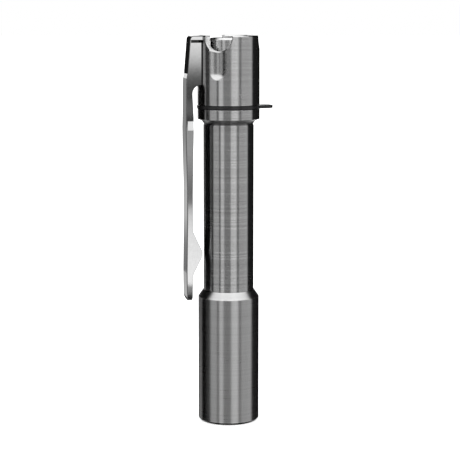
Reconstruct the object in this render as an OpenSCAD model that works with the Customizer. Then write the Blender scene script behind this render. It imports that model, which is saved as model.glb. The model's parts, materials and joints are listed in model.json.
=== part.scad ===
// Pocket flashlight for one AAA cell: turned steel head, tube and tail cap, folded sheet clip, push button in the tail.
// Millimetres. The light stands on its front rim at z = 0, and +Z runs to the tail.
// The clip is at -X. Scallops and the ring's tab are laid out round +X.

/* [Overall] */
// Length from the front rim to the tail rim
total_len = 94; // [93:0.5:97]
// Diameter of the tail cap and of the collar
tail_d = 15; // [14.9:0.1:15.6]
// Diameter of the head
head_d = 14.8; // [14.4:0.1:15.6]
// Diameter of the slim tube
tube_d = 12.2; // [12.1:0.1:12.6]

/* [Head] */
// Height of the shoulder's lower edge
shoulder_low_z = 30.8; // [30.6:0.1:31.2]
// Height of the shoulder's upper edge, where the tube enters
shoulder_top_z = 32.5; // [32.2:0.1:33]
// Chamfer round the front rim
rim_chamfer = 0.4; // [0.15:0.05:0.4]
// Clear radius of the reflector at its mouth
mouth_r = 5.75; // [5.4:0.05:5.8]

/* [Neck and collar] */
// Height where the plain tube ends and the neck begins
neck_z = 72.7; // [72.4:0.1:73]
// Height of the collar's lower edge
collar_low_z = 74.1; // [74:0.05:74.3]
// Height of the collar's top face, where the ring sits
collar_top_z = 76.55; // [76.4:0.05:76.6]

/* [Threads] */
// Distance between thread crests
pitch = 0.75; // [0.5:0.05:0.8]
// Play between a thread's crests and its bore
thread_play = 0.05; // [0.03:0.01:0.1]

/* [Cell] */
// Diameter over the cell's sleeve
cell_d = 10.5; // [10:0.1:10.6]
// Length of the cell with its button
cell_len = 44.5; // [44:0.1:44.6]

/* [Tail] */
// Radius of the cutter that made each flute
flute_r = 3; // [2.8:0.1:3.2]
// Distance of the flute's centre line from the axis
flute_at = 9.34; // [9.3:0.02:9.5]
// Lowest point of a flute
flute_low_z = 83.5; // [83.3:0.1:84]
// Lowest point of the notch in the rim
notch_low_z = 90.3; // [90.2:0.1:91]
// Radius of the notch
notch_r = 3.3; // [3:0.1:3.4]
// Radius of the push button
button_r = 4.7; // [4.5:0.05:4.7]
// How far the button travels
button_travel = 1.2; // [1:0.1:1.2]

/* [Clip] */
// Thickness of the sheet
clip_t = 0.8; // [0.6:0.1:0.9]
// Width over the two flanges
clip_w = 6.2; // [5.8:0.1:6.4]
// Distance of the clip's outer face from the axis
clip_out = 10.65; // [10.55:0.05:10.7]
// Distance of the flanges' inner edge from the axis
clip_in = 9.2; // [9.1:0.05:9.3]
// Height of the clip's free end
clip_end_z = 29.8; // [29:0.2:31]
// Distance of the bump's crest from the axis
bump_r = 6.9; // [6.8:0.05:7.2]

/* [Ring] */
// Thickness of the ring and its tab
ring_t = 0.75; // [0.6:0.05:0.75]
// Distance of the tab's tip from the axis
tab_tip = 10.8; // [10.4:0.1:11]
// Half width of the tab at its tip
tab_r = 2.2; // [2:0.1:2.3]
// Radius of the lanyard hole
lanyard_r = 1.1; // [0.9:0.05:1.2]

/* [Hidden] */
$fn = 96;

tail_r = tail_d / 2;
head_r = head_d / 2;
tube_r = tube_d / 2;

// front joint
nose_z = 25.95;             // end of the tube's threaded nose
nose_bore_r = 4.2;
nose_crest_r = 5.8;
nose_root_r = 5.45;
cell_step_z = 33.4;         // the cell's bore ends here
cell_bore_r = cell_d / 2 + 0.1;
cell_low_z = 33.7;          // tip of the cell's button
head_bore_r = tube_r + 0.06;

// rear joint
land_r = 6.78;
spigot_crest_r = 6.72;
spigot_root_r = 6.35;
spigot_end_z = 82.9;
cap_low_z = collar_top_z + 0.05 + 0.75 + 0.05;
ring_z = collar_top_z + 0.05;

// tail cap
cavity_r = 6;
floor_z = 90;
lip_z = 88.8;
lip_r = button_r + 0.05;
seal_r = button_r + 0.63;
chamber_r = 5.6;
step_z = 83;
button_low_z = 88.05;
housing_top_z = button_low_z - button_travel - 0.05;
tab_under_z = total_len - 1.13;
slit_low_z = tab_under_z - 0.52;
screw_x = -6.3;
screw_y = 1.6;
flute_drop = sqrt(pow(flute_r, 2) - pow(flute_at - tail_r, 2));

// crests and roots of a screw thread, from low to high, as rings
function crests(root, crest, z0, n) = [for (i = [0:n - 1]) each [
    [root, z0 + i * pitch], [crest, z0 + (i + 0.36) * pitch], [crest, z0 + (i + 0.5) * pitch],
    [root, z0 + (i + 0.86) * pitch]]];

// points of an arc about c
function arc(c, r, a0, a1, n) = [for (i = [0:n]) let (a = a0 + (a1 - a0) * i / n) [c[0] + r * cos(a), c[1] + r * sin(a)]];

module lathe(pts) { rotate_extrude() polygon(pts); }

module tube(ro, ri, z0, z1) {
    translate([0, 0, z0]) difference() {
        cylinder(r = ro, h = z1 - z0);
        translate([0, 0, -1]) cylinder(r = ri, h = z1 - z0 + 2);
    }
}

module o_ring(r, wire, z) { translate([0, 0, z]) rotate_extrude() translate([r, 0]) circle(r = wire, $fn = 32); }

// round wire wound from z0 to z1, its radius going from r0 to r1, with flat closed turns at both ends
module coil(r0, r1, z0, z1, turns, wire) {
    steps = 20;
    n = turns * steps;
    // share of the height reached at step i: slow over the first and last turn
    function lift(t) = let (u = t * turns, d = 0.75, k = turns - 2 * d)
        u < d ? 0.5 * wire * 2.1 * u / d / (z1 - z0)
        : u > turns - d ? 1 - 0.5 * wire * 2.1 * (turns - u) / d / (z1 - z0)
        : let (e = 0.5 * wire * 2.1 / (z1 - z0)) e + (1 - 2 * e) * (u - d) / k;
    sides = 8;
    pts = [for (i = [0:n]) for (j = [0:sides - 1])
        let (t = i / n, a = 360 * turns * t, r = r0 + (r1 - r0) * t, z = z0 + wire + (z1 - z0 - 2 * wire) * lift(t),
             b = 360 * j / sides, q = r + wire * cos(b))
        [q * cos(a), q * sin(a), z + wire * sin(b)]];
    skin = [for (i = [0:n - 1]) for (j = [0:sides - 1])
        let (p = i * sides + j, q = i * sides + (j + 1) % sides) [p, q, q + sides, p + sides]];
    ends = [[for (j = [sides - 1:-1:0]) j], [for (j = [0:sides - 1]) n * sides + j]];
    polyhedron(points = pts, faces = concat([for (f = skin) [f[3], f[2], f[1], f[0]]], [for (f = ends) [for (k = [len(f) - 1:-1:0]) f[k]]]), convexity = 10);
}

// ---- head ----

module head_shell() {
    color([0.62, 0.62, 0.63]) lathe([
        [6.6, 0], [head_r - rim_chamfer, 0], [head_r, rim_chamfer],
        [head_r, shoulder_low_z], [head_bore_r + 0.05, shoulder_top_z], [head_bore_r, shoulder_top_z - 0.08],
        [head_bore_r, 30], [nose_crest_r + thread_play, 29.9], [nose_crest_r + thread_play, 26.1], [6.2, 26],
        [6.2, 14.5], [6.3, 14.4], [6.3, 3.2], [6.5, 3.2], [6.5, 0.2]]);
}

module bezel_ring() {
    color([0.35, 0.35, 0.36]) difference() {
        lathe([[6, 0.35], [6.35, 0.35], [6.46, 0.46], [6.46, 1.6], [5.6, 1.6], [5.6, 1.45]]);
        // slots for a pin wrench
        for (a = [0, 180]) rotate([0, 0, a]) translate([5, -0.5, 0]) cube([2, 1, 0.75]);
    }
}

module lens_gasket() { color([0.06, 0.06, 0.06]) tube(6.4, 5.65, 1.62, 1.93); }

module lens() {
    color([0.85, 0.9, 0.92, 0.4]) lathe([[0, 1.95], [6.28, 1.95], [6.38, 2.05], [6.38, 3.05], [6.28, 3.15], [0, 3.15]]);
}

module reflector() {
    four_f = 3.3;
    front = 3.17;
    back = 12.6;
    vertex = front + pow(mouth_r, 2) / four_f;
    hole = 2;
    bowl = [for (i = [0:16]) let (r = mouth_r + (hole - mouth_r) * i / 16) [r, vertex - r * r / four_f]];
    color([0.9, 0.9, 0.92]) lathe(concat(bowl,
        [[hole, back], [3.4, back], [4.2, 11.4], [5.2, 9], [5.9, 6], [6.1, 4.3], [6.26, 4.2], [6.26, front]]));
}

module led_spacer() { color([0.92, 0.92, 0.9]) tube(3.6, 2.15, 12.63, 13.37); }

module led_emitter() {
    color([0.95, 0.85, 0.35]) union() {
        translate([-1.5, -1.5, 12.8]) cube([3, 3, 0.6]);
        intersection() {
            translate([0, 0, 12.95]) sphere(r = 1.2, $fn = 48);
            translate([-2, -2, 11]) cube([4, 4, 1.9]);
        }
    }
}

module led_board() {
    color([0.93, 0.93, 0.93]) difference() {
        translate([0, 0, 13.4]) cylinder(r = 5.4, h = 1);
        for (s = [-1, 1]) translate([s * 4.3, 0, 13]) cylinder(r = 0.7, h = 2);
    }
}

module led_leads() {
    color([0.75, 0.15, 0.1]) for (s = [-1, 1]) translate([s * 4.3, 0, 13.5]) cylinder(r = 0.45, h = 9.98);
}

module heat_sink() {
    color([0.78, 0.6, 0.3]) difference() {
        lathe([[0, 14.42], [6, 14.42], [6.15, 14.57], [6.15, 25.9], [5.45, 25.9], [5.45, 23.5], [5, 23.5],
            [5, 18.5], [0, 18.5]]);
        for (s = [-1, 1]) translate([s * 4.3, 0, 14]) cylinder(r = 0.6, h = 5);
    }
}

module driver_board() { color([0.1, 0.35, 0.2]) translate([0, 0, 23.52]) cylinder(r = 5.42, h = 0.9); }

module driver_parts() {
    color([0.15, 0.15, 0.16]) {
        translate([0.6, 1.9, 21.2]) difference() {
            cylinder(r = 1.7, h = 2.3);
            translate([0, 0, -1]) cylinder(r = 0.8, h = 2);
        }
        translate([-2.2, -2.6, 22.6]) cube([2, 2, 0.9]);
        translate([0.8, -2.4, 22.7]) cube([1.6, 0.8, 0.8]);
        translate([-3, 0.6, 22.7]) cube([0.8, 1.6, 0.8]);
    }
}

module driver_ring() {
    color([0.8, 0.62, 0.32]) difference() {
        tube(5.4, 4.5, 24.44, 25.88);
        for (a = [90, 270]) rotate([0, 0, a]) translate([4, -0.5, 25.2]) cube([2, 1, 1]);
    }
}

module contact_spring() { color([0.85, 0.7, 0.35]) coil(2.2, 1.6, 24.45, 33.65, 7, 0.28); }

module head_seal() { color([0.05, 0.05, 0.05]) o_ring(5.74, 0.38, 30.75); }

// ---- tube and cell ----

module body_tube() {
    neck = arc([tail_r + 0.44, neck_z - 0.78], 2.22, 155, 102, 8);
    color([0.62, 0.62, 0.63]) lathe(concat(
        [[nose_bore_r, nose_z], [nose_root_r - 0.1, nose_z], [nose_root_r, nose_z + 0.15]],
        crests(nose_root_r, nose_crest_r, 26.3, 4),
        [[nose_root_r, 29.6], [nose_crest_r + 0.1, 29.95], [nose_crest_r + 0.1, 30.25], [5.35, 30.25], [5.35, 31.25],
         [tube_r - 0.1, 31.25], [tube_r, 31.35],
         [tube_r, neck_z], [tube_r - 0.1, neck_z + 0.08]],
        neck,
        [[tail_r, collar_low_z], [tail_r, collar_top_z - 0.12], [tail_r - 0.12, collar_top_z],
         [land_r, collar_top_z], [land_r, 77.85], [5.96, 77.85], [5.96, 78.85], [land_r, 78.85], [land_r, 79.1],
         [spigot_root_r, 79.25]],
        crests(spigot_root_r, spigot_crest_r, 79.3, 4),
        [[spigot_root_r, 82.65], [spigot_root_r - 0.2, spigot_end_z], [cell_bore_r, spigot_end_z],
         [cell_bore_r, cell_step_z], [nose_bore_r, cell_step_z]]));
}

module cell_cap() {
    z = cell_low_z;
    color([0.8, 0.8, 0.8]) lathe([[0, z], [1.7, z], [1.9, z + 0.2], [1.9, z + 0.8], [0, z + 0.8]]);
}

module cell_can() {
    z = cell_low_z + 0.8;
    top = cell_low_z + cell_len;
    color([0.75, 0.75, 0.76]) lathe([[0, z], [4.6, z], [5, z + 0.4], [5, top - 0.4], [4.6, top], [0, top]]);
}

module cell_sleeve() {
    z = cell_low_z + 1.1;
    top = cell_low_z + cell_len - 0.3;
    color([0.2, 0.25, 0.3]) tube(cell_d / 2, 5.02, z, top);
}

module tail_seal() { color([0.05, 0.05, 0.05]) o_ring(6.4, 0.41, 78.35); }

module lanyard_ring() {
    color([0.07, 0.07, 0.07]) translate([0, 0, ring_z]) difference() {
        union() {
            cylinder(r = tail_r + 0.12, h = ring_t);
            linear_extrude(ring_t) polygon([[7.05, 2.75], [tab_tip - tab_r, tab_r - 0.03], [tab_tip - tab_r, -tab_r + 0.03], [7.05, -2.75]]);
            translate([tab_tip - tab_r, 0, 0]) cylinder(r = tab_r, h = ring_t);
        }
        translate([0, 0, -1]) cylinder(r = land_r + 0.07, h = ring_t + 2);
        translate([tab_tip - tab_r + 0.45, 0, -1]) cylinder(r = lanyard_r, h = ring_t + 2);
    }
}

// ---- tail ----

module tail_cap() {
    ball_z = flute_low_z + flute_drop;
    notch_z = notch_low_z + notch_r;
    color([0.62, 0.62, 0.63]) difference() {
        union() {
            lathe([
                [6.98, cap_low_z], [tail_r - 0.15, cap_low_z], [tail_r, cap_low_z + 0.15],
                [tail_r, total_len - 0.25], [tail_r - 0.25, total_len], [cavity_r + 0.15, total_len],
                [cavity_r, total_len - 0.15], [cavity_r, floor_z], [lip_r, floor_z],
                [lip_r, 89.75], [seal_r, 89.75], [seal_r, 89.1], [lip_r, 89.1], [lip_r, lip_z], [chamber_r, lip_z],
                [chamber_r, step_z], [spigot_crest_r + thread_play, step_z], [spigot_crest_r + thread_play, 79.25],
                [6.83, 79.15], [6.83, cap_low_z + 0.15]]);
            // land inside the rim that takes the clip's screws
            difference() {
                translate([0, 0, 89.9]) cylinder(r = cavity_r + 0.3, h = tab_under_z - 89.9);
                translate([-4.9, -10, 80]) cube([20, 20, 20]);
                for (s = [-1, 1]) translate([-8, s > 0 ? clip_w / 2 + 0.5 : -clip_w / 2 - 10.5, 80]) cube([8, 10, 20]);
            }
        }
        for (a = [0, 120, 240]) rotate([0, 0, a]) {
            translate([flute_at, 0, ball_z]) cylinder(r = flute_r, h = 20);
            translate([flute_at, 0, ball_z]) sphere(r = flute_r);
            translate([5.2, 0, notch_z]) rotate([0, 90, 0]) cylinder(r = notch_r, h = 4);
            translate([6.1, 0, notch_z]) rotate([0, 90, 0]) cylinder(r1 = notch_r, r2 = notch_r + 0.9, h = 1.8);
        }
        // seat of the clip's top tab
        translate([-9, -clip_w / 2 - 0.1, tab_under_z]) cube([4.2, clip_w + 0.2, 3]);
        for (s = [-1, 1]) translate([screw_x, s * screw_y, 89.8]) cylinder(r = 0.52, h = 5);
    }
}

// the clip's back in the plane of its side: it bows out a little over the tube and is rounded off at the free end
function spine() = [
    [-clip_out + 0.25, 85], [-clip_out + 0.03, 83.9], [-clip_out - 0.05, 82.4], [-clip_out - 0.1, 76], [-clip_out - 0.2, 72],
    [-clip_out - 0.16, 68], [-clip_out - 0.03, 62.5], [-clip_out + 0.08, 57], [-clip_out + 0.07, 50], [-clip_out - 0.01, 44],
    [-clip_out - 0.12, 37], [-clip_out - 0.1, 34], [-clip_out - 0.06, clip_end_z + 2.2], [-clip_out - 0.02, clip_end_z + 1.2],
    [-clip_out + 0.08, clip_end_z + 0.6], [-clip_out + 0.25, clip_end_z + 0.2], [-clip_out + 0.5, clip_end_z]];

// outer line of the clip, from the tab's root down to the free end
function clip_line() = concat(
    arc([-8.85, total_len - 0.95], 0.9, 90, 172, 5), spine());

// the side of one flange, with its root wing and its bump
function flange_line() = concat(
    [[-9.3, slit_low_z], [-9.55, slit_low_z - 0.05], [-9.7, slit_low_z - 0.4]], spine(),
    [[-clip_in - 0.4, clip_end_z], [-clip_in - 0.18, clip_end_z + 0.75], [-clip_in - 0.1, clip_end_z + 1.3], [-clip_in - 0.1, 33], [-clip_in, 36.6], [-clip_in + 0.12, 37.3],
     [-bump_r - 0.12, 41.2], [-bump_r, 41.5], [-bump_r, 42.2], [-bump_r - 0.12, 42.5], [-clip_in + 0.12, 46.5],
     [-clip_in, 47.2], [-clip_in, 56], [-clip_in + 0.12, 65], [-clip_in + 0.26, 70.5], [-clip_in + 0.26, 74.5], [-clip_in, 80]],
    arc([-clip_in + 2, 80.3], 2, 180, 98, 6),
    [[-5, 82.3], [-5, slit_low_z - 0.3], [-5.2, slit_low_z]]);

module clip() {
    color([0.7, 0.7, 0.71]) difference() {
        union() {
            // web and top tab
            translate([0, clip_w / 2, 0]) rotate([90, 0, 0]) linear_extrude(clip_w) difference() {
                polygon(concat([[-4.95, total_len - 0.05], [-8.85, total_len - 0.05]], clip_line(),
                    [[-clip_in - 0.4, clip_end_z], [-clip_in - 0.18, clip_end_z + 0.75], [-clip_in - 0.1, clip_end_z + 1.3], [-clip_in - 0.1, 33], [-4.95, 92.5]]));
                polygon(concat([[-4, tab_under_z + 0.09], [-8.75, tab_under_z + 0.09], [-9.02, tab_under_z - 0.19]],
                    [for (p = spine()) if (p[1] > clip_end_z + 1.9) [p[0] + clip_t, p[1]]],
                    [[-clip_out + clip_t, clip_end_z + 1.9], [-clip_out + clip_t + 0.2, clip_end_z + 1.2],
                    [-clip_in, clip_end_z + 0.8], [-4, clip_end_z + 0.8]]));
            }
            // flanges
            for (s = [-1, 1]) translate([0, s > 0 ? clip_w / 2 : -clip_w / 2 + clip_t, 0]) rotate([90, 0, 0])
                linear_extrude(clip_t) polygon(flange_line());
            // pressed rib that stiffens the fold under the tab
            translate([0, 0.8, 0]) rotate([90, 0, 0]) linear_extrude(1.6)
                polygon([[-9.4, 90.4], [-7.75, 92.1], [-7.75, total_len - 0.9], [-9.4, total_len - 0.9]]);
        }
        // relief slits that part the tab from the wings
        for (s = [-1, 1]) translate([-9.5, s > 0 ? clip_w / 2 - clip_t : -clip_w / 2 - 1, slit_low_z])
            cube([6, clip_t + 1, tab_under_z + 0.09 - slit_low_z]);
        // the wings end on the tail cap's curve
        translate([0, 0, 70]) cylinder(r = tail_r + 0.2, h = tab_under_z - 70);
        // countersunk holes in the tab
        for (s = [-1, 1]) translate([screw_x, s * screw_y, 0]) {
            translate([0, 0, 92]) cylinder(r = 0.62, h = 3);
            translate([0, 0, total_len - 0.72]) cylinder(r1 = 0.62, r2 = 1.12, h = 0.5);
            translate([0, 0, total_len - 0.23]) cylinder(r = 1.12, h = 1);
        }
        // the free end is a shallow round tongue
        difference() {
            translate([-12, -5, clip_end_z - 1]) cube([4, 10, 3]);
            translate([-13, 0, clip_end_z + 7.21]) rotate([0, 90, 0]) cylinder(r = 7.21, h = 6);
        }
    }
}

module clip_screws() {
    color([0.45, 0.45, 0.46]) for (s = [-1, 1]) translate([screw_x, s * screw_y, 0]) difference() {
        union() {
            translate([0, 0, 90]) cylinder(r = 0.5, h = total_len - 0.64 - 90);
            translate([0, 0, total_len - 0.65]) cylinder(r1 = 0.5, r2 = 1, h = 0.5);
            translate([0, 0, total_len - 0.15]) cylinder(r = 1, h = 0.07);
        }
        translate([0, 0, total_len - 0.5]) cylinder(r = 0.45, h = 1, $fn = 6);
    }
}

module tail_button() {
    top = total_len - 0.5;
    color([0.66, 0.66, 0.67]) lathe([[0, button_low_z], [5.2, button_low_z], [5.3, 88.15], [5.3, 88.65], [5.2, 88.75], [button_r, 88.75],
        [button_r, top - 0.52], [button_r - 0.45, top - 0.04], [button_r - 0.7, top], [button_r - 1.1, top - 0.1],
        [0, top - 0.2]]);
}

module button_seal() { color([0.05, 0.05, 0.05]) o_ring(seal_r - 0.3, 0.28, 89.425); }

module switch_plunger() {
    color([0.85, 0.85, 0.82]) union() {
        translate([0, 0, 86.05]) cylinder(r = 2.2, h = 0.3);
        translate([0, 0, 86.2]) cylinder(r = 1.5, h = 1.83);
    }
}

module switch_spring() { color([0.6, 0.6, 0.6]) coil(1.7, 1.7, 84.33, 86.03, 2.5, 0.12); }

module switch_housing() {
    color([0.12, 0.12, 0.13]) difference() {
        translate([0, 0, 84.32]) cylinder(r = 5.5, h = housing_top_z - 84.32);
        translate([0, 0, 84]) cylinder(r = 2.6, h = 2.4);
        translate([0, 0, 84]) cylinder(r = 1.56, h = 4);
    }
}

module switch_board() { color([0.1, 0.3, 0.18]) translate([0, 0, 83.5]) cylinder(r = 5.5, h = 0.8); }

module switch_ring() {
    color([0.8, 0.62, 0.32]) difference() {
        tube(5.55, 3.7, 83.02, 83.48);
        for (a = [0, 180]) rotate([0, 0, a]) translate([3.4, -0.5, 82.8]) cube([1.2, 1, 1]);
    }
}

module battery_spring() { color([0.85, 0.7, 0.35]) coil(2.2, 3.2, 78.25, 83.48, 4.5, 0.28); }

head_shell();
bezel_ring();
lens_gasket();
lens();
reflector();
led_spacer();
led_emitter();
led_board();
led_leads();
heat_sink();
driver_board();
driver_parts();
driver_ring();
contact_spring();
head_seal();
body_tube();
cell_cap();
cell_can();
cell_sleeve();
tail_seal();
lanyard_ring();
tail_cap();
clip();
clip_screws();
tail_button();
button_seal();
switch_plunger();
switch_spring();
switch_housing();
switch_board();
switch_ring();
battery_spring();
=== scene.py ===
import json
import math

import bmesh
import bpy
import numpy as np
from mathutils import Matrix, Vector
from mathutils.geometry import tessellate_polygon


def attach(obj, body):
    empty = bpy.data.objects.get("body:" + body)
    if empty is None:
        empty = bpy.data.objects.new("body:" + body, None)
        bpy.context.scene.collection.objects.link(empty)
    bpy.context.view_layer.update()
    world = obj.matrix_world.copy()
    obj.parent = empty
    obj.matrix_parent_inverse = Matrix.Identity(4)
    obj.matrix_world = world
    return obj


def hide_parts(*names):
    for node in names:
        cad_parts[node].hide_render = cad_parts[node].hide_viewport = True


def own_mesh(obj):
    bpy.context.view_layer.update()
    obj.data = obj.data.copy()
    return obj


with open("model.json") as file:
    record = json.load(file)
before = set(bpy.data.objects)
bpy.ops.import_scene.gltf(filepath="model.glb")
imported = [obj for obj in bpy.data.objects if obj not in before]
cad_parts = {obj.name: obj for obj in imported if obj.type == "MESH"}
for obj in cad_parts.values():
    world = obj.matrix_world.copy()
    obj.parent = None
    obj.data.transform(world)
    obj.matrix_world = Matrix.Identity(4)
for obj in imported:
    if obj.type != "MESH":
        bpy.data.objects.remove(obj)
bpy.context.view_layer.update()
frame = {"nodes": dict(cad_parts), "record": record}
scene = bpy.context.scene
MM = 0.001

# ---------------------------------------------------------------- nodes


def node(t, kind, inputs=None, **attrs):
    """A shader node with its properties and its inputs, which are values or sockets."""
    n = t.nodes.new(kind)
    for k, v in attrs.items():
        setattr(n, k, v)
    for k, v in (inputs or {}).items():
        if isinstance(v, bpy.types.NodeSocket):
            t.links.new(v, n.inputs[k])
        else:
            n.inputs[k].default_value = v
    return n


def calc(t, op, a, b=None, c=None, clamp=False):
    n = t.nodes.new("ShaderNodeMath")
    n.operation = op
    n.use_clamp = clamp
    for i, v in enumerate((a, b, c)):
        if v is None:
            continue
        if isinstance(v, bpy.types.NodeSocket):
            t.links.new(v, n.inputs[i])
        else:
            n.inputs[i].default_value = v
    return n.outputs[0]


def ramp(t, fac, stops, interpolation="LINEAR"):
    """A grey or coloured ramp: stops are (position, value or colour)."""
    n = t.nodes.new("ShaderNodeValToRGB")
    n.color_ramp.interpolation = interpolation
    els = n.color_ramp.elements
    while len(els) > 1:
        els.remove(els[-1])
    for i, (p, v) in enumerate(stops):
        e = els[0] if i == 0 else els.new(p)
        e.position = p
        e.color = (v, v, v, 1) if isinstance(v, (int, float)) else (*v[:3], 1)
    t.links.new(fac, n.inputs[0])
    return n.outputs[0]


def step_map(t, v, a, b, lo=0.0, hi=1.0):
    """Goes from lo to hi as v goes from a to b, smoothly, and stays there."""
    return node(t, "ShaderNodeMapRange", {"Value": v, "From Min": a, "From Max": b, "To Min": lo, "To Max": hi},
                interpolation_type="SMOOTHSTEP", clamp=True).outputs[0]


def blank(name):
    m = bpy.data.materials.new(name)
    m.use_nodes = True
    t = m.node_tree
    t.nodes.clear()
    out = t.nodes.new("ShaderNodeOutputMaterial")
    bsdf = t.nodes.new("ShaderNodeBsdfPrincipled")
    t.links.new(bsdf.outputs[0], out.inputs[0])
    return m, t, bsdf


def axes(t):
    """The object's own coordinates in millimetres, with distance from the axis and unit directions round it."""
    co = node(t, "ShaderNodeTexCoord").outputs["Object"]
    mm = node(t, "ShaderNodeVectorMath", {0: co, "Scale": 1000.0}, operation="SCALE").outputs[0]
    s = node(t, "ShaderNodeSeparateXYZ", {0: mm})
    x, y, z = s.outputs
    r = calc(t, "SQRT", calc(t, "ADD", calc(t, "MULTIPLY", x, x), calc(t, "MULTIPLY", y, y)))
    safe = calc(t, "MAXIMUM", r, 0.01)
    return mm, x, y, z, r, calc(t, "DIVIDE", x, safe), calc(t, "DIVIDE", y, safe)


def noise1(t, w, scale, detail=2.0, rough=0.5):
    return node(t, "ShaderNodeTexNoise", {"W": w, "Scale": scale, "Detail": detail, "Roughness": rough},
                noise_dimensions="1D").outputs[0]


def noise3(t, v, scale, detail=2.0, rough=0.5, distortion=0.0):
    return node(t, "ShaderNodeTexNoise", {"Vector": v, "Scale": scale, "Detail": detail, "Roughness": rough,
                                         "Distortion": distortion}, noise_dimensions="3D").outputs[0]


def centred(t, v, gain):
    """Noise about 0.5 turned into a factor about 1."""
    return calc(t, "MULTIPLY_ADD", v, 2 * gain, 1 - gain)


def product(t, *vs):
    out = vs[0]
    for v in vs[1:]:
        out = calc(t, "MULTIPLY", out, v)
    return out


def tint(t, value, colour):
    """colour times a number, as a colour."""
    return node(t, "ShaderNodeVectorMath", {0: colour, "Scale": value}, operation="SCALE").outputs[0]


def bump(t, height, distance, normal=None):
    ins = {"Height": height, "Distance": distance, "Strength": 1.0}
    if normal is not None:
        ins["Normal"] = normal
    return node(t, "ShaderNodeBump", ins).outputs[0]


# ---------------------------------------------------------------- materials

def turned(name, base, rough, aniso=1.0, ring=1.0, metallic=1.0, phase=0.0, fine=1.0):
    """Metal cut on a lathe: rings that follow the tool, fine scratches round the axis, handling marks."""
    m, t, b = blank(name)
    mm, x, y, z, r, ux, uy = axes(t)
    s = calc(t, "ADD", calc(t, "MULTIPLY_ADD", r, 0.7, phase), z)
    broad = noise1(t, s, 0.45, 2)
    ring1 = noise1(t, s, 1.9, 3, 0.6)
    ring2 = noise1(t, s, 9.0, 3, 0.7)
    round_ = node(t, "ShaderNodeCombineXYZ", {0: calc(t, "MULTIPLY", ux, 4.0), 1: calc(t, "MULTIPLY", uy, 4.0),
                                             2: calc(t, "MULTIPLY", s, 14.0)}).outputs[0]
    scratch = noise3(t, round_, 1.0, 3, 0.65)
    patch = noise3(t, mm, 0.16, 3, 0.55)
    hand = noise3(t, mm, 0.9, 4, 0.6)
    worn = node(t, "ShaderNodeAttribute", attribute_name="wear").outputs["Fac"]
    worn = calc(t, "MULTIPLY", worn, step_map(t, hand, 0.38, 0.62, 0.3, 1.0))
    value = product(t, centred(t, broad, 0.05 * ring), centred(t, ring1, 0.11 * ring), centred(t, ring2, 0.07 * ring),
                    centred(t, scratch, 0.10 * ring), centred(t, patch, 0.06))
    value = calc(t, "MULTIPLY_ADD", worn, 0.22, value)
    t.links.new(tint(t, value, base), b.inputs["Base Color"])
    ro = calc(t, "MULTIPLY_ADD", calc(t, "SUBTRACT", scratch, 0.5), 0.10, rough)
    ro = calc(t, "MULTIPLY_ADD", calc(t, "SUBTRACT", patch, 0.5), 0.08, ro)
    ro = calc(t, "MULTIPLY_ADD", calc(t, "SUBTRACT", ring1, 0.5), 0.06, ro)
    ro = calc(t, "MULTIPLY_ADD", step_map(t, hand, 0.6, 0.75), 0.03, ro, clamp=True)
    t.links.new(ro, b.inputs["Roughness"])
    b.inputs["Metallic"].default_value = metallic
    if aniso:
        b.inputs["Anisotropic"].default_value = aniso
        b.inputs["Anisotropic Rotation"].default_value = 0.25
        tan = node(t, "ShaderNodeTangent", direction_type="RADIAL", axis="Z").outputs[0]
        t.links.new(tan, b.inputs["Tangent"])
    h = calc(t, "ADD", calc(t, "MULTIPLY", ring1, 0.9), calc(t, "MULTIPLY", ring2, 0.45))
    h = calc(t, "MULTIPLY_ADD", scratch, 0.5, h)
    nb = bump(t, h, 2.2e-6 * ring * fine)
    nb = bump(t, hand, 1.5e-6 * fine, nb)
    t.links.new(nb, b.inputs["Normal"])
    return m


def milled(name, base, rough, along=(1.0, 1.0, 0.08), scale=6.0, metallic=1.0):
    """Metal cut with an end mill: streaks along the cutter's path and a light mottle."""
    m, t, b = blank(name)
    mm = axes(t)[0]
    v = node(t, "ShaderNodeVectorMath", {0: mm, 1: along}, operation="MULTIPLY").outputs[0]
    streak = noise3(t, v, scale, 3, 0.6)
    fine = noise3(t, v, scale * 4, 2, 0.6)
    patch = noise3(t, mm, 0.7, 3, 0.5)
    value = product(t, centred(t, streak, 0.12), centred(t, fine, 0.08), centred(t, patch, 0.10))
    t.links.new(tint(t, value, base), b.inputs["Base Color"])
    ro = calc(t, "MULTIPLY_ADD", calc(t, "SUBTRACT", streak, 0.5), 0.10, rough)
    ro = calc(t, "MULTIPLY_ADD", calc(t, "SUBTRACT", patch, 0.5), 0.06, ro, clamp=True)
    t.links.new(ro, b.inputs["Roughness"])
    b.inputs["Metallic"].default_value = metallic
    t.links.new(bump(t, calc(t, "ADD", streak, calc(t, "MULTIPLY", fine, 0.4)), 2.5e-6), b.inputs["Normal"])
    return m


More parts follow.
